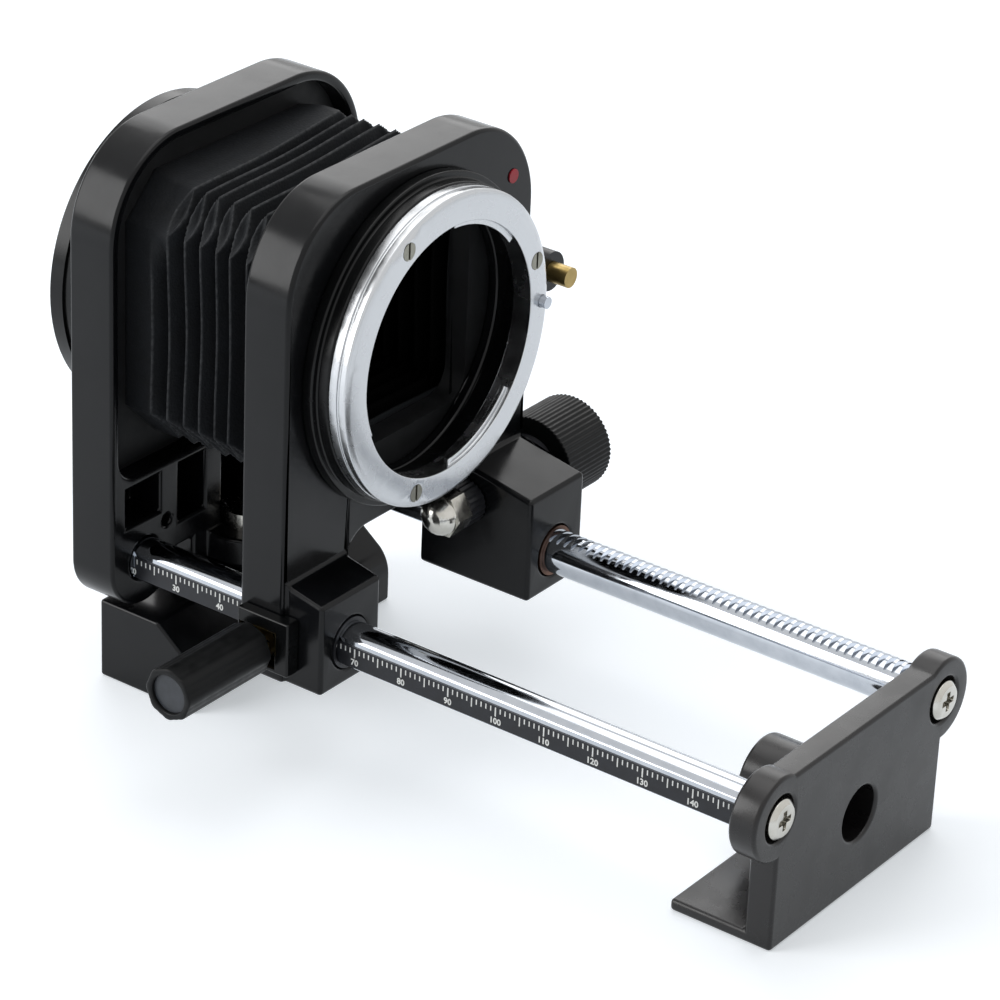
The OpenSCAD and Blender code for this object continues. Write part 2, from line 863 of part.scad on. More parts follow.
module pivot_pad() {
    color("#17181a")
        difference() {
            bar_z(shoe_height, pad_top, pad_dia, 0, 0);
            bar_z(shoe_height - overrun, pad_top + overrun, pivot_dia + 2 * seat_gap, 0, 0);
        }
}

module pivot_washer() {
    color("#8f9296")
        difference() {
            bar_z(pad_top, ear_bottom - running_gap, washer_dia, 0, 0);
            bar_z(pad_top - overrun, ear_bottom + overrun, pivot_dia + 2 * seat_gap, 0, 0);
        }
}

module pivot_screw() {
    head_low = ear_top + running_gap;
    head_high = head_low + pivot_head_height;
    color("#c9ccd1")
        difference() {
            union() {
                bar_z(shoe_height - pivot_grip, head_low, pivot_dia, 0, 0);
                bar_z(head_low, head_high, pivot_head_dia, 0, 0);
            }
            translate([-pivot_head_dia, -pivot_slot_width / 2, head_high - pivot_slot_depth])
                cube([2 * pivot_head_dia, pivot_slot_width, pivot_slot_depth + overrun]);
        }
}

// Front standard: a tray open to the bellows, an arch and two feet that slide on the rods
module foot_side(length, tops) {
    polygon([
        [front_rear, foot_bottom],
        [front_rear + length, foot_bottom],
        [front_rear + length, rod_height + tops[1]],
        [front_face, rod_height + tops[0]],
        [front_rear, rod_height + tops[0]]
    ]);
}

module front_standard() {
    tunnel_dia = rod_dia + 2 * rod_tunnel_gap;
    bush_seat_dia = rod_dia + 2 * rod_bush_wall + 2 * seat_gap;
    color("#17181a")
        difference() {
            union() {
                slab_x(front_rear, front_face)
                    difference() {
                        arched_outline(half_width, foot_bottom, top_z, standard_corner);
                        arched_outline(arch_half, foot_bottom - overrun, arch_top, arch_corner);
                    }
                slab_y(-rod_y - foot_half, -rod_y + foot_half)
                    foot_side(scale_foot_length, scale_foot_tops);
                slab_y(rod_y - foot_half, rod_y + foot_half)
                    foot_side(rack_foot_length, rack_foot_tops);
            }
            slab_x(front_rear - overrun, tray_front)
                rounded_outline(half_width - rim_wall, frame_bottom, top_z - rim_wall,
                                tray_corner, recess_corner);
            bar_x(tray_front - overrun, front_face + overrun, collar_bore_dia, 0, axis_z);
            for (foot = [[-rod_y, scale_foot_length], [rod_y, rack_foot_length]]) {
                bar_x(front_rear - overrun, front_rear + foot[1] + overrun, tunnel_dia, foot[0], rod_height);
                bar_x(front_rear - overrun, front_rear + rod_bush_length,
                      bush_seat_dia, foot[0], rod_height);
                bar_x(front_rear + foot[1] - rod_bush_length, front_rear + foot[1] + overrun,
                      bush_seat_dia, foot[0], rod_height);
            }
            bar_y(rod_y - pinion_face / 2 - open_gap, rod_y + foot_half + overrun, 2 * cavity_r,
                  pinion_x, pinion_z);
            bar_y(rod_y - foot_half - overrun, rod_y, shaft_dia + 2 * running_gap, pinion_x, pinion_z);
            bar_y(tension_inner - open_gap, rod_y - foot_half, tension_collar_dia + 2 * open_gap,
                  pinion_x, pinion_z);
            bar_y(-rod_y - foot_half - overrun, -rod_y, clamp_screw_dia + 2 * running_gap,
                  clamp_x, rod_height);
        }
}

module rod_bushes(y, length) {
    for (x = [front_rear, front_rear + length - rod_bush_length])
        difference() {
            bar_x(x, x + rod_bush_length, rod_dia + 2 * rod_bush_wall, y, rod_height);
            bar_x(x - overrun, x + rod_bush_length + overrun, rod_dia + 2 * running_gap, y, rod_height);
        }
}

module scale_rod_bushes() {
    color("#8a5a34")
        rod_bushes(-rod_y, scale_foot_length);
}

module rack_rod_bushes() {
    color("#8a5a34")
        rod_bushes(rod_y, rack_foot_length);
}

// Lens side: a stepped black collar, the bright ring with its tabs, and their screws
module lens_collar() {
    color("#141416")
        difference() {
            turned_x([
                [collar_bore_dia / 2, front_face],
                [collar_step_dia / 2, front_face],
                [collar_step_dia / 2, front_face + collar_step_depth],
                [collar_dia / 2, front_face + collar_step_depth],
                [collar_dia / 2, collar_front],
                [collar_bore_dia / 2, collar_front]
            ]);
            on_front(lens_ring_front, mount_screw_circle, lens_screw_angles)
                countersunk_seat();
            bar_x(front_face + seat_gap, collar_front + overrun, lock_pin_dia + 2 * running_gap,
                  lock_pin_circle, axis_z);
        }
}

module lens_mount_ring() {
    color("#d5d8dc")
        difference() {
            union() {
                turned_x([
                    [body_dia / 2, collar_front],
                    [lens_ring_dia / 2, collar_front],
                    [lens_ring_dia / 2, collar_front + ring_groove_inset],
                    [lens_ring_dia / 2 - ring_groove_depth, collar_front + ring_groove_inset],
                    [lens_ring_dia / 2 - ring_groove_depth,
                     collar_front + ring_groove_inset + ring_groove_width],
                    [lens_ring_dia / 2, collar_front + ring_groove_inset + ring_groove_width],
                    [lens_ring_dia / 2, lens_ring_front - ring_bevel / 2],
                    [lens_ring_dia / 2 - ring_bevel, lens_ring_front],
                    [body_dia / 2, lens_ring_front]
                ]);
                translate([0, 0, axis_z])
                    slab_x(lens_ring_front - tab_recess - tab_thickness, lens_ring_front - tab_recess)
                        intersection() {
                            difference() {
                                circle(d = body_dia + tab_reach);
                                circle(d = throat_dia);
                            }
                            wedges(tab_angles, tab_angle, lens_ring_dia);
                        }
            }
            on_front(lens_ring_front, mount_screw_circle, lens_screw_angles)
                countersunk_seat();
            bar_x(collar_front - overrun, lens_ring_front + overrun, lock_pin_dia + 2 * running_gap,
                  lock_pin_circle, axis_z);
        }
}

module lens_mount_screws() {
    color("#a9925a")
        on_front(lens_ring_front, mount_screw_circle, lens_screw_angles)
            countersunk_screw();
}

module index_dot() {
    color("#c1121f")
        bar_x(front_face, front_face + dot_height, dot_dia,
              dot_circle * cos(dot_angle), axis_z + dot_circle * sin(dot_angle));
}

// Release: a boss with a web to the collar, a return spring, the button and the pin that it draws in
module release_boss() {
    web_rear = front_face + seat_gap;
    color("#141416")
        difference() {
            union() {
                bar_x(release_boss_rear, release_boss_front, release_boss_dia, release_y, release_z);
                translate([web_rear, collar_step_dia / 2 - overrun, release_z - release_web / 2])
                    cube([release_boss_front - web_rear, release_y - collar_step_dia / 2 + overrun,
                          release_web]);
            }
            translate([release_boss_rear - overrun, 0, release_z - release_boss_dia])
                cube([web_rear - release_boss_rear + overrun, half_width + seat_gap,
                      2 * release_boss_dia]);
            bar_x(web_rear - overrun, release_boss_front + overrun,
                  collar_step_dia + 2 * seat_gap, 0, axis_z);
            bar_x(release_boss_rear - overrun, release_boss_front, release_stem_dia + 2 * running_gap,
                  release_y, release_z);
            bar_x(release_well_floor, release_boss_front + overrun, release_well_dia,
                  release_y, release_z);
        }
}

function spring_center(t, coil_r, low, length) =
    [low + length * t, release_y + coil_r * sin(360 * spring_turns * t),
     release_z + coil_r * cos(360 * spring_turns * t)];

module release_spring() {
    rings = spring_turns * spring_steps;
    coil_r = (release_well_dia / 2 + release_stem_dia / 2) / 2;
    low = release_well_floor + spring_wire / 2 + seat_gap;
    length = release_head_rear - release_well_floor - spring_wire - 2 * seat_gap;
    points = [
        for (i = [0:rings])
            let (center = spring_center(i / rings, coil_r, low, length), a = 360 * i / spring_steps)
            for (k = [0:spring_sides - 1])
                let (b = 360 * k / spring_sides)
                center + spring_wire / 2 * [sin(b), cos(b) * sin(a), cos(b) * cos(a)]
    ];
    n = spring_sides;
    sides = [
        for (i = [0:rings - 1])
            for (k = [0:n - 1])
                each [[n * i + k, n * i + (k + 1) % n, n * (i + 1) + k],
                      [n * i + (k + 1) % n, n * (i + 1) + (k + 1) % n, n * (i + 1) + k]]
    ];
    ends = [
        [for (k = [n - 1:-1:0]) k],
        [for (k = [0:n - 1]) n * rings + k]
    ];
    color("#9a9da1")
        polyhedron(points = points, faces = concat(sides, ends));
}

module release_button() {
    color("#b08d4b")
        union() {
            bar_x(release_boss_rear + release_stem_inset, release_head_rear, release_stem_dia,
                  release_y, release_z);
            bar_x(release_head_rear, release_boss_front + release_button_stand, release_button_dia,
                  release_y, release_z);
        }
}

module lock_pin() {
    color("#c9ccd1")
        bar_x(lock_pin_rear, lens_ring_front + lock_pin_stand, lock_pin_dia, lock_pin_circle, axis_z);
}

// Drive: a bush in the rack foot, the toothed shaft, the knob, a friction collar and a domed nut
module pinion_bush() {
    color("#8f7442")
        difference() {
            bar_y(shaft_bush_inner, shaft_bush_outer, shaft_bush_dia - 2 * seat_gap, pinion_x, pinion_z);
            bar_y(shaft_bush_inner - overrun, shaft_bush_outer + overrun,
                  shaft_dia + 2 * running_gap, pinion_x, pinion_z);
        }
}

// Angle between the middle of a tooth and its flank, at a given radius
function flank_turn(r) =
    let (
        base = pitch_r * cos(flank_angle),
        a = r > base ? acos(base / r) : 0,
        involute = tan(a) * 180 / PI - a,
        involute_pitch = tan(flank_angle) * 180 / PI - flank_angle
    )
    180 * pinion_tooth_share / pinion_teeth + involute_pitch - involute;

pinion_root = pitch_r - root_share * module_size;
tooth_radii = [pinion_root, pitch_r - tip_share * module_size / 2, pitch_r,
               pitch_r + tip_share * module_size / 2, pinion_r];

function tooth_points(k) =
    let (middle = 360 * k / pinion_teeth - 90)
    [
        for (i = [0:4])
            tooth_radii[i] * [cos(middle - flank_turn(tooth_radii[i])),
                              sin(middle - flank_turn(tooth_radii[i]))],
        for (i = [4:-1:0])
            tooth_radii[i] * [cos(middle + flank_turn(tooth_radii[i])),
                              sin(middle + flank_turn(tooth_radii[i]))]
    ];

module pinion_shaft() {
    color("#b8babd")
        union() {
            translate([pinion_x, 0, pinion_z])
                slab_y(rod_y - pinion_face / 2, rod_y + pinion_face / 2)
                    polygon([for (k = [0:pinion_teeth - 1]) each tooth_points(k)]);
            bar_y(nut_outer, knob_outer - knob_cap_wall, shaft_dia, pinion_x, pinion_z);
            bar_y(nut_inner, nut_outer, shaft_thread_dia, pinion_x, pinion_z);
        }
}

module drive_knob() {
    color("#111112")
        difference() {
            translate([pinion_x, 0, pinion_z])
                slab_y(knob_inner, knob_outer)
                    polygon(knurl_points(drive_knob_dia, knurl_count, knurl_depth));
            bar_y(knob_inner - overrun, knob_outer - knob_cap_wall + seat_gap,
                  shaft_dia + 2 * seat_gap, pinion_x, pinion_z);
            bar_y(knob_outer - knob_dish_depth, knob_outer + overrun, knob_dish_dia, pinion_x, pinion_z);
            bar_y(knob_inner - overrun, knob_inner + knob_dish_depth, knob_dish_dia, pinion_x, pinion_z);
            bar_z(pinion_z - drive_knob_dia, pinion_z, grub_dia + 2 * seat_gap, pinion_x, knob_grub_y);
        }
}

module knob_grub_screw() {
    tip = pinion_z - shaft_dia / 2 - seat_gap;
    color("#3a3b3e")
        difference() {
            bar_z(tip - grub_length, tip, grub_dia, pinion_x, knob_grub_y);
            translate([pinion_x, knob_grub_y, tip - grub_length - grub_dia / 2])
                cylinder(h = grub_dia, d = grub_dia / 2, $fn = 6);
        }
}

module tension_collar() {
    color("#55575b")
        difference() {
            translate([pinion_x, 0, pinion_z])
                slab_y(tension_inner, tension_outer)
                    polygon(knurl_points(tension_collar_dia, tension_knurl_count, tension_knurl_depth));
            bar_y(tension_inner - overrun, tension_outer + overrun, shaft_dia + 2 * seat_gap,
                  pinion_x, pinion_z);
        }
}

// Domed nut: a hexagon, then a cap turned as a quarter ellipse
module acorn_nut() {
    dome_r = nut_across / 2 - seat_gap;
    color("#c9ccd1")
        union() {
            difference() {
                translate([pinion_x, nut_outer, pinion_z])
                    rotate([90, 0, 0])
                        cylinder(h = nut_length, d = nut_across / cos(30), $fn = 6);
                bar_y(nut_inner, nut_outer + overrun, shaft_thread_dia + 2 * seat_gap, pinion_x, pinion_z);
            }
            translate([pinion_x, nut_inner, pinion_z])
                rotate([90, 0, 0])
                    rotate_extrude()
                        polygon(concat(
                            [[0, 0]],
                            [for (a = [0:10:90]) [dome_r * cos(a), dome_length * sin(a)]]
                        ));
        }
}

// Clamp: a housing on the scale foot, a pad against the rod, and a ribbed knob on its screw
module clamp_housing() {
    color("#1b1b1d")
        difference() {
            translate([front_rear + housing_start, -housing_outer, rod_height - housing_low])
                cube([housing_length, housing_depth - seat_gap, housing_low + housing_high]);
            translate([front_rear, -half_width - seat_gap, rod_height - housing_low - overrun])
                cube([standard_depth + seat_gap, housing_depth, housing_low + housing_high + 2 * overrun]);
            translate([clamp_x - housing_pocket_rear, -housing_outer - overrun,
                       rod_height - housing_pocket_half])
                cube([housing_pocket_rear + housing_pocket_front, housing_pocket_depth + overrun,
                      2 * housing_pocket_half]);
            bar_y(-housing_outer - overrun, -rod_y - foot_half + overrun,
                  clamp_screw_dia + 2 * running_gap, clamp_x, rod_height);
        }
}

module clamp_pad() {
    color("#a9925a")
        bar_y(-clamp_pad_inner - clamp_pad_thickness, -clamp_pad_inner, clamp_pad_dia,
              clamp_x, rod_height);
}

module clamp_screw() {
    color("#a9925a")
        bar_y(-clamp_knob_root - clamp_screw_grip, -clamp_screw_tip, clamp_screw_dia, clamp_x, rod_height);
}

module clamp_ring() {
    color("#b08d4b")
        difference() {
            bar_y(-housing_outer - clamp_ring_length, -housing_outer + housing_pocket_depth - open_gap,
                  clamp_ring_dia, clamp_x, rod_height);
            bar_y(-housing_outer - clamp_ring_length - overrun, -housing_outer + housing_depth,
                  clamp_screw_dia + 2 * seat_gap, clamp_x, rod_height);
        }
}

module clamp_knob() {
    lobe_circle = clamp_knob_dia / 2 - clamp_lobe_r;
    color("#1b1b1d")
        difference() {
            translate([clamp_x, 0, rod_height])
                slab_y(-clamp_knob_end, -clamp_knob_root) {
                    circle(r = lobe_circle + clamp_lobe_r * (1 - 2 * clamp_groove_share));
                    for (i = [0:clamp_lobes - 1])
                        rotate(360 * i / clamp_lobes)
                            translate([lobe_circle, 0])
                                circle(r = clamp_lobe_r, $fn = 32);
                }
            bar_y(-clamp_knob_root - clamp_screw_grip - seat_gap, -clamp_knob_root + overrun,
                  clamp_screw_dia + 2 * seat_gap, clamp_x, rod_height);
            bar_y(-clamp_knob_end - overrun, -clamp_knob_end + clamp_cap_depth,
                  clamp_cap_dia + 2 * seat_gap, clamp_x, rod_height);
        }
}

module clamp_knob_cap() {
    color("#4a4c50")
        bar_y(-clamp_knob_end + clamp_cap_depth / 2, -clamp_knob_end + clamp_cap_depth,
              clamp_cap_dia, clamp_x, rod_height);
}

rear_standard();
camera_collar();
camera_bayonet();
camera_mount_screws();
bellows_rear_frame();
bellows();
scale_rod();
scale_strip();
rack_rod();
rod_grub_screws();
end_plate();
end_screws();
tripod_block();
tripod_bush();
pivot_pad();
pivot_washer();
pivot_screw();
front_standard();
scale_rod_bushes();
rack_rod_bushes();
bellows_front_frame();
lens_collar();
lens_mount_ring();
lens_mount_screws();
index_dot();
release_boss();
release_spring();
release_button();
lock_pin();
pinion_bush();
pinion_shaft();
drive_knob();
knob_grub_screw();
tension_collar();
acorn_nut();
clamp_housing();
clamp_pad();
clamp_screw();
clamp_ring();
clamp_knob();
clamp_knob_cap();
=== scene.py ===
import math

import bpy
import numpy as np
from mathutils import Matrix, Vector


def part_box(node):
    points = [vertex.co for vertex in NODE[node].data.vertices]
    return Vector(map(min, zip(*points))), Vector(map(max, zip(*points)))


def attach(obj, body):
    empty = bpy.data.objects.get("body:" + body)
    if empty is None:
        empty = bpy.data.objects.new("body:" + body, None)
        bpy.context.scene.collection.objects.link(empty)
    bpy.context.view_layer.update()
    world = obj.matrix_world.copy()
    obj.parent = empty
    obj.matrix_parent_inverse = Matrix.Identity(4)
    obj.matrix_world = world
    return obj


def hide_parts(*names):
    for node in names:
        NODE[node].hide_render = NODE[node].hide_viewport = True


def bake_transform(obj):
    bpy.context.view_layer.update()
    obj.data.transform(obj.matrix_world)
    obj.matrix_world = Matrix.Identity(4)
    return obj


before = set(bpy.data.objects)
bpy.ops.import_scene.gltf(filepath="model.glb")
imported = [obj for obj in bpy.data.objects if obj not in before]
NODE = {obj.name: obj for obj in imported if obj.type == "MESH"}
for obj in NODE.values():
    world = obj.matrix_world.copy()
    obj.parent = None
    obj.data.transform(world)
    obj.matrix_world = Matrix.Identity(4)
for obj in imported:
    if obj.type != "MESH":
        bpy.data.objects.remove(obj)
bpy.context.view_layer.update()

# Macro bellows unit, dressed. Metres, in the part's frame: X along the rods towards the end plate,
# Y across to the rack rod, Z up from the surface that the unit stands on.

MM = 0.001
scene = bpy.context.scene

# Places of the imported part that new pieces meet
ROD_Y = 25 * MM
AXIS_Z = 72.2 * MM
SCALE_ZERO = -23 * MM
STRIP_FACE = -ROD_Y - 3.3 * MM
BELLOWS_REAR = -6.7 * MM
BELLOWS_FRONT = 28.8 * MM


# ---------------------------------------------------------------- meshes

def new_piece(name, points, faces, smooth=True):
    """A mesh object at the origin from an array of points and an array of faces."""
    mesh = bpy.data.meshes.new(name)
    mesh.from_pydata(points.tolist(), [], faces.tolist())
    mesh.polygons.foreach_set("use_smooth", np.full(len(mesh.polygons), smooth))
    mesh.update()
    piece = bpy.data.objects.new(name, mesh)
    scene.collection.objects.link(piece)
    return piece


def grid_faces(rows, columns, close_rows, close_columns):
    """Quads of a grid: point (i, j) is number i * columns + j, and a closed direction joins its last line to its
    first."""
    i = np.arange(rows if close_rows else rows - 1)[:, None]
    j = np.arange(columns if close_columns else columns - 1)[None, :]
    i_next, j_next = (i + 1) % rows, (j + 1) % columns
    corners = [i * columns + j, i_next * columns + j, i_next * columns + j_next, i * columns + j_next]
    return np.stack([c.ravel() for c in np.broadcast_arrays(*corners)], axis=1)


def bars(name, boxes):
    """Many small blocks as one mesh: each row of boxes is a low corner and a high corner, and the eight points of a
    block are its low corner plus every on-off mix of its three edge lengths."""
    low, high = np.asarray(boxes, float)[:, :3], np.asarray(boxes, float)[:, 3:]
    mix = np.array([[a, b, c] for a in (0, 1) for b in (0, 1) for c in (0, 1)], float)
    points = low[:, None, :] + mix[None] * (high - low)[:, None, :]
    quads = np.array([[0, 1, 3, 2], [4, 6, 7, 5], [0, 4, 5, 1], [2, 3, 7, 6], [0, 2, 6, 4], [1, 5, 7, 3]])
    faces = (np.arange(len(boxes)) * 8)[:, None, None] + quads[None]
    return new_piece(name, points.reshape(-1, 3), faces.reshape(-1, 4), smooth=False)


# ---------------------------------------------------------------- materials

def linear(hex_colour):
    """sRGB hex to the linear values that the shaders take."""
    channels = np.array([int(hex_colour[k:k + 2], 16) for k in (1, 3, 5)]) / 255
    return (*np.where(channels <= 0.04045, channels / 12.92, ((channels + 0.055) / 1.055) ** 2.4), 1.0)


def add(tree, kind, sockets=None, stops=(), **settings):
    """Adds a node with its settings. Each socket is set to a value, or linked from an output, or from the main output
    of another node, and a colour ramp gets its two (place, colour) stops."""
    made = tree.nodes.new(kind)
    for key, value in settings.items():
        setattr(made, key, value)
    for key, value in (sockets or {}).items():
        if isinstance(value, bpy.types.Node):
            value = next(output for output in value.outputs if output.enabled)
        if isinstance(value, bpy.types.NodeSocket):
            tree.links.new(value, made.inputs[key])
        else:
            made.inputs[key].default_value = value
    for k, (place, colour) in enumerate(stops):
        made.color_ramp.elements[k].position = place
        made.color_ramp.elements[k].color = colour if isinstance(colour, tuple) else (colour, colour, colour, 1)
    return made


def started(name):
    """A new material, its empty node tree, and Object coordinates in millimetres."""
    material = bpy.data.materials.new(name)
    material.use_nodes = True
    tree = material.node_tree
    tree.nodes.clear()
    place = add(tree, "ShaderNodeTexCoord").outputs["Object"]
    return material, tree, add(tree, "ShaderNodeVectorMath", {0: place, "Scale": 1000.0}, operation="SCALE")


# Noise with soft lumps, with a finer grain, and with clouds of several sizes
LUMPS = {"Detail": 2.0, "Roughness": 0.55}
GRAIN = {"Detail": 3.0, "Roughness": 0.55}
CLOUD = {"Detail": 4.0, "Roughness": 0.55}


def gloss_enamel(name, dark, light, low, high, lump_mm, depth_mm, level=0.22):
    """Black stoving enamel over a die casting: a faint orange peel with lumps of lump_mm, a mottled gloss, and fine
    specks where dust lies in the paint."""
    cloud_per_mm, gloss_per_mm, speck_per_mm, speck_share, dust = 0.09, 0.16, 2.2, 0.16, "#3a3c40"
    material, tree, place = started(name)
    cloud = add(tree, "ShaderNodeTexNoise", {"Vector": place, "Scale": cloud_per_mm, **CLOUD})
    colour = add(tree, "ShaderNodeValToRGB", {"Fac": cloud}, [(0.35, linear(dark)), (0.7, linear(light))])
    fine = add(tree, "ShaderNodeTexNoise", {"Vector": place, "Scale": speck_per_mm, "Detail": 2.0, "Roughness": 0.7})
    speck = add(tree, "ShaderNodeValToRGB", {"Fac": fine}, [(0.7, 0.0), (0.78, 1.0)])
    share = add(tree, "ShaderNodeMath", {0: speck, 1: speck_share}, operation="MULTIPLY")
    dusty = add(tree, "ShaderNodeMix", {"Factor": share, 6: colour, 7: linear(dust)}, data_type="RGBA")
    mottle = add(tree, "ShaderNodeTexNoise", {"Vector": place, "Scale": gloss_per_mm, **CLOUD})
    gloss = add(tree, "ShaderNodeValToRGB", {"Fac": mottle}, [(0.3, low), (0.72, high)])
    lumps = add(tree, "ShaderNodeTexNoise", {"Vector": place, "Scale": 1 / lump_mm, **LUMPS})
    peel = add(tree, "ShaderNodeBump", {"Height": lumps, "Distance": depth_mm * MM})
    enamel = add(tree, "ShaderNodeBsdfPrincipled",
                 {"Base Color": dusty, "Roughness": gloss, "IOR": 1.5, "Specular IOR Level": level, "Normal": peel})
    add(tree, "ShaderNodeOutputMaterial", {"Surface": enamel})
    return material


def bright_metal(name, colour, film, low, high, lump_mm, depth_mm):
    """Polished plating or bare metal: mirror-like, with smears of a thin film and a barely uneven surface."""
    smear_per_mm = 0.35
    material, tree, place = started(name)
    smear = add(tree, "ShaderNodeTexNoise", {"Vector": place, "Scale": smear_per_mm, **CLOUD})
    tone = add(tree, "ShaderNodeValToRGB", {"Fac": smear}, [(0.35, linear(colour)), (0.7, linear(film))])
    gloss = add(tree, "ShaderNodeValToRGB", {"Fac": smear}, [(0.35, low), (0.7, high)])
    lumps = add(tree, "ShaderNodeTexNoise", {"Vector": place, "Scale": 1 / lump_mm, **LUMPS})
    uneven = add(tree, "ShaderNodeBump", {"Height": lumps, "Distance": depth_mm * MM})
    metal = add(tree, "ShaderNodeBsdfPrincipled",
                {"Base Color": tone, "Roughness": gloss, "Metallic": 1.0, "Normal": uneven})
    add(tree, "ShaderNodeOutputMaterial", {"Surface": metal})
    return material


def turned_metal(name, colour, worn, low, high, per_mm, depth_mm):
    """Lathe-turned metal about the optical axis: fine rings in the radius (or along X), with a slow change of
    gloss."""
    cloud_per_mm = 0.2
    material, tree, place = started(name)
    split = add(tree, "ShaderNodeSeparateXYZ", {0: place}).outputs
    lifted = add(tree, "ShaderNodeMath", {0: split["Z"], 1: AXIS_Z / MM}, operation="SUBTRACT")
    radial = add(tree, "ShaderNodeCombineXYZ", {"X": split["Y"], "Y": lifted})
    radius = add(tree, "ShaderNodeVectorMath", {0: radial}, operation="LENGTH")
    both = add(tree, "ShaderNodeMath", {0: radius, 1: split["X"]}, operation="ADD")
    ring = add(tree, "ShaderNodeTexNoise", {"W": both, "Scale": per_mm, "Detail": 3.0}, noise_dimensions="1D")
    tone = add(tree, "ShaderNodeValToRGB", {"Fac": ring}, [(0.3, linear(worn)), (0.7, linear(colour))])
    cloud = add(tree, "ShaderNodeTexNoise", {"Vector": place, "Scale": cloud_per_mm, **GRAIN})
    gloss = add(tree, "ShaderNodeValToRGB", {"Fac": cloud}, [(0.3, low), (0.7, high)])
    grooves = add(tree, "ShaderNodeBump", {"Height": ring, "Distance": depth_mm * MM})
    metal = add(tree, "ShaderNodeBsdfPrincipled",
                {"Base Color": tone, "Roughness": gloss, "Metallic": 1.0, "Normal": grooves})
    add(tree, "ShaderNodeOutputMaterial", {"Surface": metal})
    return material


def fine_grained(name, dark, light, low, high, grain_mm, depth_mm, level=0.32):
    """Paint, print, foil, or a blasted or blackened surface: a fine even grain that breaks the gloss up."""
    cloud_per_mm = 0.5
    material, tree, place = started(name)
    cloud = add(tree, "ShaderNodeTexNoise", {"Vector": place, "Scale": cloud_per_mm, **CLOUD})
    tone = add(tree, "ShaderNodeValToRGB", {"Fac": cloud}, [(0.3, linear(dark)), (0.7, linear(light))])
    gloss = add(tree, "ShaderNodeValToRGB", {"Fac": cloud}, [(0.3, low), (0.7, high)])
    grain = add(tree, "ShaderNodeTexNoise", {"Vector": place, "Scale": 1 / grain_mm, **GRAIN})
    rough = add(tree, "ShaderNodeBump", {"Height": grain, "Distance": depth_mm * MM})
    skin = add(tree, "ShaderNodeBsdfPrincipled",
               {"Base Color": tone, "Roughness": gloss, "IOR": 1.49, "Specular IOR Level": level, "Normal": rough})
    add(tree, "ShaderNodeOutputMaterial", {"Surface": skin})
    return material


def bellows_leatherette():
    """Coated cloth: matt black with a woven grain of 0.3 mm, drawn at 0.45 so that it shows, paler worn creases,
    and an inner skin painted near-black and without sheen, which is painted shade for the bellows' interior."""
    tone_per_mm, rub_per_mm, crumple_per_mm, crumple_mm = 0.25, 0.9, 0.6, 0.06
    weave_mm, weave_depth_mm = 0.45, 0.05
    material, tree, place = started("bellows_coated_cloth")
    crease = add(tree, "ShaderNodeAttribute", attribute_name="crease").outputs["Fac"]
    lining_shade_mask = add(tree, "ShaderNodeAttribute", attribute_name="shaded_lining").outputs["Fac"]
    patches = add(tree, "ShaderNodeTexNoise", {"Vector": place, "Scale": rub_per_mm, **CLOUD})
    rub = add(tree, "ShaderNodeMath", {0: crease, 1: patches}, operation="MULTIPLY")
    cloud = add(tree, "ShaderNodeTexNoise", {"Vector": place, "Scale": tone_per_mm, **CLOUD})
    coating = add(tree, "ShaderNodeValToRGB", {"Fac": cloud}, [(0.3, linear("#101215")), (0.7, linear("#171a1e"))])
    paler = add(tree, "ShaderNodeValToRGB", {"Fac": rub}, [(0.25, 0.0), (0.75, 0.6)])
    worn = add(tree, "ShaderNodeMix", {"Factor": paler, 6: coating, 7: linear("#525457")}, data_type="RGBA")
    # Painted shade: the inner skin is mixed to near-black #030303 and its sheen is dropped, standing in for the shade
    # in the bellows' interior
    tone = add(tree, "ShaderNodeMix", {"Factor": lining_shade_mask, 6: worn, 7: linear("#030303")}, data_type="RGBA")
    sheen = add(tree, "ShaderNodeMapRange", {"Value": lining_shade_mask, "To Min": 0.34, "To Max": 0.05})
    gloss = add(tree, "ShaderNodeValToRGB", {"Fac": rub}, [(0.2, 0.72), (0.6, 0.5)])
    threads = add(tree, "ShaderNodeTexVoronoi", {"Vector": place, "Scale": 1 / weave_mm})
    weave = add(tree, "ShaderNodeBump", {"Height": threads, "Distance": weave_depth_mm * MM})
    slack = add(tree, "ShaderNodeTexNoise", {"Vector": place, "Scale": crumple_per_mm, **GRAIN})
    crumpled = add(tree, "ShaderNodeBump", {"Height": slack, "Distance": crumple_mm * MM, "Normal": weave})
    skin = add(tree, "ShaderNodeBsdfPrincipled",
               {"Base Color": tone, "Roughness": gloss, "IOR": 1.48, "Specular IOR Level": sheen, "Normal": crumpled})
    add(tree, "ShaderNodeOutputMaterial", {"Surface": skin})
    return material


# low and high are the ends of the roughness, and level is the strength of the mirror reflection seen square on.

# Die-cast bodies under gloss stoving enamel: deep black that mirrors the studio softly
casting = gloss_enamel("black_enamel_casting", "#0a0b0d", "#101113", low=0.15, high=0.26, lump_mm=1.6, depth_mm=0.008)
# End plate: the same enamel, rubbed and dusty from handling, so it looks greyer
worn_casting = gloss_enamel("handled_enamel_casting", "#151415", "#1d1b1b", low=0.22, high=0.36, lump_mm=1.6,
                            depth_mm=0.01, level=0.4)
# Turned collars, anodised black: blacker and a little drier than the castings
collar = gloss_enamel("black_anodised_collar", "#08090a", "#0d0e0f", low=0.18, high=0.3, lump_mm=0.9, depth_mm=0.004)
# Rods and lock pin: bright chrome plating on ground steel
chrome = bright_metal("bright_chrome_plating", "#bfc3c9", "#b3b8bf", low=0.05, high=0.13, lump_mm=3.0, depth_mm=0.002)
# Lens ring: satin chrome on brass, turned, so its rings catch the light as fine arcs
satin_chrome = turned_metal("turned_satin_chrome", "#c8cacc", "#c0c2c5", low=0.22, high=0.3, per_mm=9.0,
                            depth_mm=0.0007)
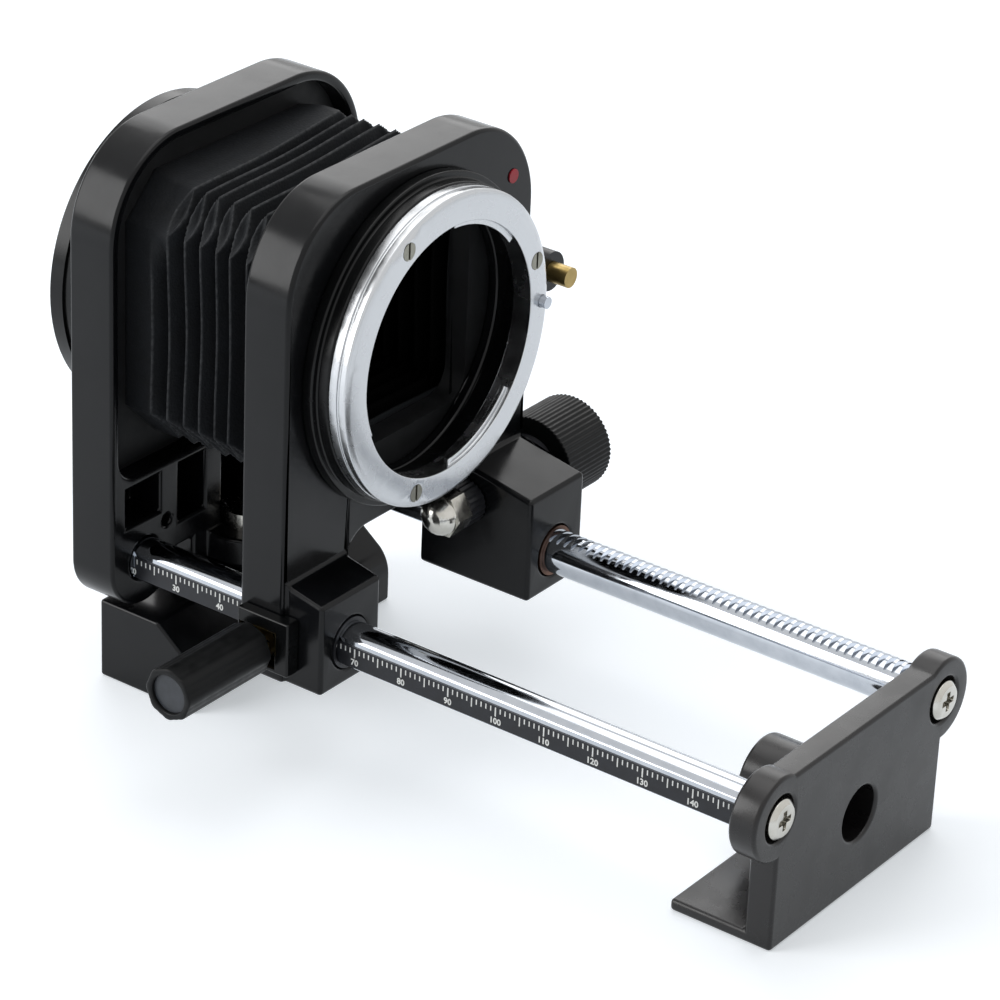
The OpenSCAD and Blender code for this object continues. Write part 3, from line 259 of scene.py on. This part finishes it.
# Screws and the domed nut: nickel plating, a warm bright mirror
nickel = bright_metal("nickel_plating", "#c8c6c0", "#b8b6ae", low=0.12, high=0.26, lump_mm=1.2, depth_mm=0.006)
# Screws of the lens ring: nickel gone dull, so that they show darker than the ring
dull_nickel = bright_metal("dull_nickel", "#8d8c82", "#7d7b70", low=0.3, high=0.45, lump_mm=0.9, depth_mm=0.008)
# Grub screws, friction collar, and the bushes on the scale side and behind the knob: chemically blackened steel,
# charcoal with a faint sheen
black_steel = fine_grained("blackened_steel", "#1c1d20", "#2c2d31", low=0.3, high=0.45, grain_mm=0.5, depth_mm=0.006)
# Shaft, socket, washer and spring: plain turned steel, grey and half bright
steel = bright_metal("plain_turned_steel", "#a9abae", "#989a9d", low=0.2, high=0.36, lump_mm=0.8, depth_mm=0.005)
# Button, clamp ring, clamp screw and its pad: brass with a dull film, a muted yellow
brass = bright_metal("dull_brass", "#ab9460", "#988350", low=0.26, high=0.42, lump_mm=0.9, depth_mm=0.008)
# Bushes where the rack rod leaves its foot: oiled bronze, a thin brown rim
bronze = bright_metal("oiled_bronze", "#5f4539", "#4d392f", low=0.34, high=0.5, lump_mm=0.6, depth_mm=0.01)
# Bellows cloth, and the painted boards behind it, flat and dull
cloth = bellows_leatherette()
board = fine_grained("painted_fibre_board", "#121314", "#1b1c1e", low=0.55, high=0.7, grain_mm=0.35, depth_mm=0.02)
# Scale strip: black anodised foil, almost flat in tone
foil = fine_grained("black_anodised_foil", "#1b1c20", "#24262b", low=0.36, high=0.48, grain_mm=0.8, depth_mm=0.003)
# Knobs: black anodised aluminium with a blasted grain, matt so that the knurl shows by its shadows
knob_black = fine_grained("black_blasted_knob", "#08090a", "#0e0f10", low=0.36, high=0.5, grain_mm=0.3,
                          depth_mm=0.01, level=0.18)
# Disc in the end of the clamp knob: grey lacquer, a paler spot on the black
cap_grey = fine_grained("grey_lacquer_disc", "#2f3236", "#3c3f44", low=0.3, high=0.44, grain_mm=0.7, depth_mm=0.008)
# Index dot: red signal paint, one thick drop
red = fine_grained("red_signal_paint", "#a31526", "#bd1e30", low=0.3, high=0.42, grain_mm=1.0, depth_mm=0.02)
# Printed marks of the scale: white ink, slightly uneven
ink = fine_grained("white_printing_ink", "#d9dbd8", "#f1f2ef", low=0.5, high=0.65, grain_mm=0.4, depth_mm=0.004)

# Which nodes wear which finish
FINISH = {
    casting: ["rear_standard", "front_standard", "tripod_block", "pivot_pad"],
    worn_casting: ["end_plate"],
    collar: ["camera_collar", "lens_collar", "release_boss", "clamp_housing"],
    chrome: ["scale_rod", "rack_rod", "lock_pin"],
    satin_chrome: ["lens_mount_ring", "camera_bayonet"],
    nickel: ["end_screws", "acorn_nut", "pivot_screw", "camera_mount_screws"],
    dull_nickel: ["lens_mount_screws"],
    black_steel: ["rod_grub_screws", "knob_grub_screw", "scale_rod_bushes", "pinion_bush", "tension_collar"],
    steel: ["tripod_bush", "pivot_washer", "pinion_shaft"],
    brass: ["release_button", "clamp_ring", "clamp_screw", "clamp_pad"],
    bronze: ["rack_rod_bushes"],
    cloth: ["bellows"],
    board: ["bellows_rear_frame", "bellows_front_frame"],
    foil: ["scale_strip"],
    knob_black: ["drive_knob", "clamp_knob"],
    cap_grey: ["clamp_knob_cap"],
    red: ["index_dot"],
}
for material, names in FINISH.items():
    for name in names:
        NODE[name].data.materials.clear()
        NODE[name].data.materials.append(material)
        NODE[name].data.polygons.foreach_set("material_index", np.zeros(len(NODE[name].data.polygons), int))


# ---------------------------------------------------------------- soft edges on the castings

def soften(name, width_mm, segments, limit_deg=32):
    """Rounds a CAD node's sharp edges: its loose triangles are welded, and edges turned by more than the limit get an
    arc of the given width."""
    piece = NODE[name]
    weld = piece.modifiers.new("weld", "WELD")
    weld.merge_threshold = 0.002 * MM
    edge = piece.modifiers.new("soft_edges", "BEVEL")
    edge.width = width_mm * MM
    edge.segments = segments
    edge.limit_method = "ANGLE"
    edge.angle_limit = math.radians(limit_deg)
    edge.loop_slide = False
    edge.use_clamp_overlap = False
    piece.modifiers.new("even_normals", "WEIGHTED_NORMAL")
    piece.data.polygons.foreach_set("use_smooth", np.ones(len(piece.data.polygons), bool))


# Widths in millimetres, and the number of steps round each edge
EDGES = {
    "rear_standard": (0.7, 3), "front_standard": (0.8, 3), "end_plate": (0.7, 3), "tripod_block": (0.6, 3),
    "pivot_pad": (0.5, 3), "clamp_housing": (0.35, 3), "drive_knob": (0.22, 2), "clamp_knob": (0.3, 2),
    "lens_collar": (0.35, 3), "lens_mount_ring": (0.15, 2), "end_screws": (0.12, 2),
}
for name, (width_mm, segments) in EDGES.items():
    soften(name, width_mm, segments)


# ---------------------------------------------------------------- bellows

def make_bellows():
    """Skin of the bellows. Round the ring (v) it is an oblong with cut corners. Along it (u) the depth goes from 0 at
    a ridge to the fold's full depth at a valley, as a rounded triangle wave of the phase p, with one ridge at each
    whole p. Sides and top have their ridges at their own stations, read from the photograph, and the corners pass
    from one to the other. On a corner each ridge opens into a leaf: two creases at p = whole +- leaf_open times
    sin(pi t) to the power leaf_power, with t across the corner, and a tuck between them. The first ridge fades out
    towards the top, where the skirt is longer. Lengths are in millimetres."""
    # The ring: half its width and height, its corner cuts (the far top one is smaller), the folds' depth, the cloth
    half_w, half_h, cut, far_cut, depth, wall = 26.0, 24.8, 7.5, 5.0, 6.4, 0.55
    # Leaves: how far the creases part, how bluntly, how deep the tuck is, how much shallower the fold gets
    leaf_open, leaf_power, tuck_depth, leaf_lift = 0.3, 0.8, 1.9, 0.3
    # Rounding of the ridges, width of a crease in phase, sag of the sides, tilt of the top, height of the fade
    ridge_round, crease_width, side_sag, top_tilt, fade_height = 0.003, 0.1, 0.5, 0.055, 8
    # Uneven folds: how far they wander along X, and the waves of that along u, across Y and up Z
    wander_mm, wander_u, wander_y, wander_z = 0.12, 5.1, 2.2, 3.0
    # Points along a side, across a corner, from ridge to ridge, and on the skirt
    side_n, cut_n, fold_n, skirt_n = 24, 20, 16, 14
    rear, front = BELLOWS_REAR / MM, BELLOWS_FRONT / MM
    side_x = [-1.0, 2.6, 6.4, 9.8, 13.3, 16.3, 20.0, 23.5, 27.0, front]
    top_x = [-1.4, 2.2, 4.9, 7.7, 11.1, 14.8, 18.3, 21.8, 25.4, front]
    end_phase = 8.5
    ridges = [*range(9), end_phase]

    # u: the phase, from -1 at the rear board over the skirt to end_phase at the front board
    phase = np.concatenate([np.linspace(-1, 0, skirt_n, endpoint=False),
                            np.arange(int(end_phase * fold_n) + 1) / fold_n])
    near = np.abs(phase - np.round(phase))
    near[phase < 0] = 0.0
    x_side = np.interp(phase, [-1] + ridges, [rear] + side_x)
    x_top = np.interp(phase, [-1] + ridges, [rear] + top_x)

    # v: eight runs round the ring, from corner point to corner point, with the outward shift at each end
    corners = [(half_w, half_h - far_cut), (half_w - far_cut, half_h),
               (-(half_w - cut), half_h), (-half_w, half_h - cut),
               (-half_w, -(half_h - cut)), (-(half_w - cut), -half_h),
               (half_w - cut, -half_h), (half_w, -(half_h - cut))]
    normals = [(1, 0), (0, 1), (0, 1), (-1, 0), (-1, 0), (0, -1), (0, -1), (1, 0)]
    place, outward, leaf, middle, level = [], [], [], [], []
    for k in range(8):
        is_cut = k % 2 == 0
        t = np.linspace(0, 1, cut_n if is_cut else side_n, endpoint=False)[:, None]
        place.append(np.array(corners[k]) * (1 - t) + np.array(corners[(k + 1) % 8]) * t)
        outward.append(np.array(normals[k]) * (1 - t) + np.array(normals[(k + 1) % 8]) * t)
        leaf.append(np.sin(np.pi * t[:, 0]) * is_cut)
        middle.append(np.sin(np.pi * t[:, 0]) * (not is_cut))
        rise = {0: t[:, 0], 1: np.ones(len(t)), 2: 1 - t[:, 0]}.get(k, np.zeros(len(t)))
        level.append(rise * rise * (3 - 2 * rise))
    (y, z), (ny, nz) = np.concatenate(place).T, np.concatenate(outward).T
    leaf, middle, level = (np.concatenate(a)[None] for a in (leaf, middle, level))
    x = x_side[:, None] * (1 - level) + x_top[:, None] * level

    # Depth of the folds, and the leaves at the corners
    opening = leaf_open * leaf ** leaf_power
    gap = near[:, None] - opening
    wave = np.clip(gap / (0.5 - opening), 0, 1)
    rounding = np.sqrt(ridge_round)
    wave = (np.sqrt(wave ** 2 + ridge_round) - rounding) / (np.sqrt(1 + ridge_round) - rounding)
    tuck = np.clip(-gap / np.maximum(opening, 0.02), 0, 1) * leaf
    fading = np.clip((z[None] - fade_height) / fade_height, 0, 1)
    wave = wave * (1 - fading * (phase < 1)[:, None])
    faded = (phase > -0.01)[:, None] * (1 - fading * (phase < 0.5)[:, None])
    tuck = tuck * faded

    def skin(extra):
        """Points of one skin, pushed inwards by extra millimetres: place = ring - inset * outward."""
        sag = side_sag * middle ** 2 * np.clip(phase + 1, 0, 1)[:, None]
        inset = depth * wave * (1 - leaf_lift * leaf) + tuck_depth * tuck + sag + extra
        free = np.clip(np.minimum(phase + 1, end_phase - phase), 0, 1)[:, None]
        tilt = top_tilt * y[None] * level * free
        swing = np.sin(wander_u * phase[:, None] + wander_y * y[None] / half_w + wander_z * z[None] / half_h)
        wander = wander_mm * swing * middle * free
        points = [x + wander, y[None] - inset * ny[None], z[None] + tilt - inset * nz[None]]
        return np.stack(points, axis=-1) * MM + np.array([0, 0, AXIS_Z])

    shell = np.concatenate([skin(0.0), skin(wall)[::-1]])
    rows, columns = shell.shape[:2]
    piece = new_piece("bellows_skin", shell.reshape(-1, 3), grid_faces(rows, columns, True, True)[:, ::-1])
    line = np.clip(1 - np.abs(gap) / crease_width, 0, 1) * faded
    values = np.concatenate([line, np.zeros_like(line)]).ravel().astype(np.float32)
    piece.data.attributes.new("crease", "FLOAT", "POINT").data.foreach_set("value", values)
    # Inner skin: marked for the painted shade of the bellows' interior
    shaded_lining = np.zeros((rows, columns), np.float32)
    shaded_lining[rows // 2:] = 1
    piece.data.attributes.new("shaded_lining", "FLOAT", "POINT").data.foreach_set("value", shaded_lining.ravel())
    piece.data.materials.append(cloth)
    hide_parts("bellows")
    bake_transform(piece)


make_bellows()


# ---------------------------------------------------------------- return spring

def make_return_spring():
    """Spring behind the button: round wire along a helix about the button's axis. At share t of its length and angle
    b round the wire, the radius from the axis is coil + wire cos b, and the place along X is its even rise plus wire
    sin b. The ends are closed by strips across the wire."""
    low, high = (np.array(corner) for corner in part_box("release_spring"))
    wire, turns, steps, sides = 0.15 * MM, 3, 40, 12
    middle, coil = (low + high) / 2, (high[1] - low[1]) / 2 - wire
    t = np.linspace(0, 1, turns * steps + 1)[:, None]
    b = np.linspace(0, 2 * np.pi, sides, endpoint=False)[None]
    angle, radius = 2 * np.pi * turns * t, coil + wire * np.cos(b)
    x = low[0] + wire + (high[0] - low[0] - 2 * wire) * t + wire * np.sin(b)
    points = np.stack([x, middle[1] + radius * np.sin(angle), middle[2] + radius * np.cos(angle)], axis=-1)
    near = np.arange(sides // 2 - 1)
    cap = np.stack([near, near + 1, sides - 2 - near, sides - 1 - near], axis=1)
    walls = grid_faces(len(t), sides, False, True)
    faces = np.concatenate([walls, cap[:, ::-1], cap + (len(t) - 1) * sides])[:, ::-1]
    piece = new_piece("return_spring", points.reshape(-1, 3), faces)
    piece.data.materials.append(steel)
    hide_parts("release_spring")
    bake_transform(piece)


make_return_spring()


# ---------------------------------------------------------------- scale marks

def make_ticks():
    """White millimetre marks on the strip: every mark hangs from one line, 1 mm marks are short, 5 and 10 mm marks
    long."""
    first, last, top, proud, sunk = 21, 147, 26.8 * MM, 0.05 * MM, 0.05 * MM
    short_mark, long_mark, thin_half, bold_half = 0.95, 1.7, 0.11, 0.13
    readings = np.arange(first, last + 1)
    length = np.where(readings % 5 == 0, long_mark, short_mark) * MM
    half = np.where(readings % 10 == 0, bold_half, thin_half) * MM
    x = SCALE_ZERO + readings * MM
    low = np.stack([x - half, np.full(len(x), STRIP_FACE - proud), top - length], axis=1)
    high = np.stack([x + half, np.full(len(x), STRIP_FACE + sunk), np.full(len(x), top)], axis=1)
    piece = bars("scale_ticks", np.concatenate([low, high], axis=1))
    piece.data.materials.append(ink)
    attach(piece, "base")


def make_numbers():
    """Numbers of the scale, 20 to 140 in tens, as flat raised figures under their marks."""
    height, half_depth, thicken, centre_in, centre_z = 1.6 * MM, 0.03 * MM, 0.04 * MM, 0.02 * MM, 24.15 * MM
    outlines = []
    for reading in range(20, 150, 10):
        curve = bpy.data.curves.new("figures", "FONT")
        curve.body = str(reading)
        curve.align_x, curve.align_y = "CENTER", "CENTER"
        curve.size = height
        curve.extrude = half_depth
        curve.offset = thicken
        curve.resolution_u = 3
        holder = bpy.data.objects.new("figures", curve)
        scene.collection.objects.link(holder)
        bpy.context.view_layer.update()
        mesh = bpy.data.meshes.new_from_object(holder.evaluated_get(bpy.context.evaluated_depsgraph_get()))
        centre = (SCALE_ZERO + reading * MM, STRIP_FACE - centre_in, centre_z)
        mesh.transform(Matrix.Translation(centre) @ Matrix.Rotation(math.pi / 2, 4, "X"))
        bpy.data.objects.remove(holder)
        outlines.append(mesh)
    first = bpy.data.objects.new("scale_numbers", outlines[0])
    scene.collection.objects.link(first)
    others = []
    for mesh in outlines[1:]:
        other = bpy.data.objects.new("figures", mesh)
        scene.collection.objects.link(other)
        others.append(other)
    every = [first, *others]
    with bpy.context.temp_override(active_object=first, object=first, selected_editable_objects=every,
                                   selected_objects=every):
        bpy.ops.object.join()
    first.data.materials.clear()
    first.data.materials.append(ink)
    first.data.polygons.foreach_set("material_index", np.zeros(len(first.data.polygons), int))
    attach(first, "base")


make_ticks()
make_numbers()


# ---------------------------------------------------------------- floor, light and camera

# How brightly the floor shows to the camera and in mirrors, above the light that falls on it
FLOOR_LIFT = 0.42


def make_floor():
    """Pale studio floor, a flat disc of points at radius r and angle a, that keeps the soft shadow and fades to
    white."""
    centre_x, radii, spokes, cloud_per_mm = 0.05, np.array([0.0, 0.4, 0.9, 1.8]), 72, 0.01
    angles = np.linspace(0, 2 * np.pi, spokes, endpoint=False)
    r, a = np.meshgrid(radii, angles, indexing="ij")
    points = np.stack([centre_x + r * np.cos(a), r * np.sin(a), np.zeros_like(r)], axis=-1).reshape(-1, 3)
    floor = new_piece("studio_floor", points, grid_faces(len(radii), len(angles), False, True), False)
    material, tree, place = started("pale_studio_floor")
    cloud = add(tree, "ShaderNodeTexNoise", {"Vector": place, "Scale": cloud_per_mm, **LUMPS})
    tint = add(tree, "ShaderNodeValToRGB", {"Fac": cloud}, [(0.3, linear("#e6eaf0")), (0.7, linear("#eceff3"))])
    paper = add(tree, "ShaderNodeBsdfPrincipled",
                {"Base Color": tint, "Roughness": 0.55, "IOR": 1.3, "Specular IOR Level": 0.15})
    ray = add(tree, "ShaderNodeLightPath").outputs
    seen = add(tree, "ShaderNodeMath", {0: ray["Is Camera Ray"], 1: ray["Is Glossy Ray"]}, operation="MAXIMUM")
    lift = add(tree, "ShaderNodeMath", {0: seen, 1: FLOOR_LIFT}, operation="MULTIPLY")
    glow = add(tree, "ShaderNodeEmission", {"Color": linear("#f7fcff"), "Strength": lift})
    total = add(tree, "ShaderNodeAddShader", {0: paper, 1: glow})
    add(tree, "ShaderNodeOutputMaterial", {"Surface": total})
    floor.data.materials.append(material)


def softbox(name, place, target, width, height, watts):
    """A flat white rectangular lamp at a place, turned to face a target."""
    lamp = bpy.data.lights.new(name, "AREA")
    lamp.shape = "RECTANGLE"
    lamp.size, lamp.size_y = width, height
    lamp.energy = watts
    holder = bpy.data.objects.new(name, lamp)
    scene.collection.objects.link(holder)
    holder.location = place
    holder.rotation_euler = (Vector(target) - Vector(place)).to_track_quat("-Z", "Y").to_euler()


make_floor()

# World: white to the camera and in mirrors, dimmer as light on the object
WORLD_LIGHT, WORLD_SHOWN = 0.3, 1.0
world = bpy.data.worlds.new("white_studio")
scene.world = world
world.use_nodes = True
world.node_tree.nodes.clear()
sky = world.node_tree
ray = add(sky, "ShaderNodeLightPath").outputs
seen = add(sky, "ShaderNodeMath", {0: ray["Is Camera Ray"], 1: ray["Is Glossy Ray"]}, operation="MAXIMUM")
shown = add(sky, "ShaderNodeMath", {0: seen, 1: ray["Is Transmission Ray"]}, operation="MAXIMUM")
strength = add(sky, "ShaderNodeMapRange", {"Value": shown, "To Min": WORLD_LIGHT, "To Max": WORLD_SHOWN})
backdrop = add(sky, "ShaderNodeBackground", {"Color": linear("#ffffff"), "Strength": strength})
add(sky, "ShaderNodeOutputWorld", {"Surface": backdrop})

softbox("top_softbox", (0.0, 0.1, 0.85), (0.05, 0, 0.03), width=0.8, height=0.8, watts=3.0)
softbox("back_softbox", (-0.42, 0.66, 0.5), (0.05, 0, 0.05), width=0.8, height=0.5, watts=2.3)
softbox("left_softbox", (-0.5, -0.68, 0.42), (0.04, 0, 0.05), width=0.5, height=0.65, watts=5.0)

# Camera that took the photograph, found from the marks of the scale: where it stood, the point it aims at, its roll
# and its focal length
CAMERA_PLACE, CAMERA_AIM = Vector((0.43787, -0.53226, 0.38912)), Vector((0.05570, 0.0, 0.04734))
CAMERA_ROLL_DEG, CAMERA_LENS_MM, CAMERA_SENSOR_MM = 2.511, 154.93, 36.0
camera = bpy.data.objects.new("camera", bpy.data.cameras.new("camera"))
scene.collection.objects.link(camera)
scene.camera = camera
camera.data.sensor_width = CAMERA_SENSOR_MM
camera.data.lens = CAMERA_LENS_MM
camera.location = CAMERA_PLACE
level_turn = (CAMERA_AIM - CAMERA_PLACE).to_track_quat("-Z", "Y").to_matrix().to_4x4()
camera.rotation_euler = (level_turn @ Matrix.Rotation(math.radians(CAMERA_ROLL_DEG), 4, "Z")).to_euler()

scene.view_settings.view_transform = "Standard"
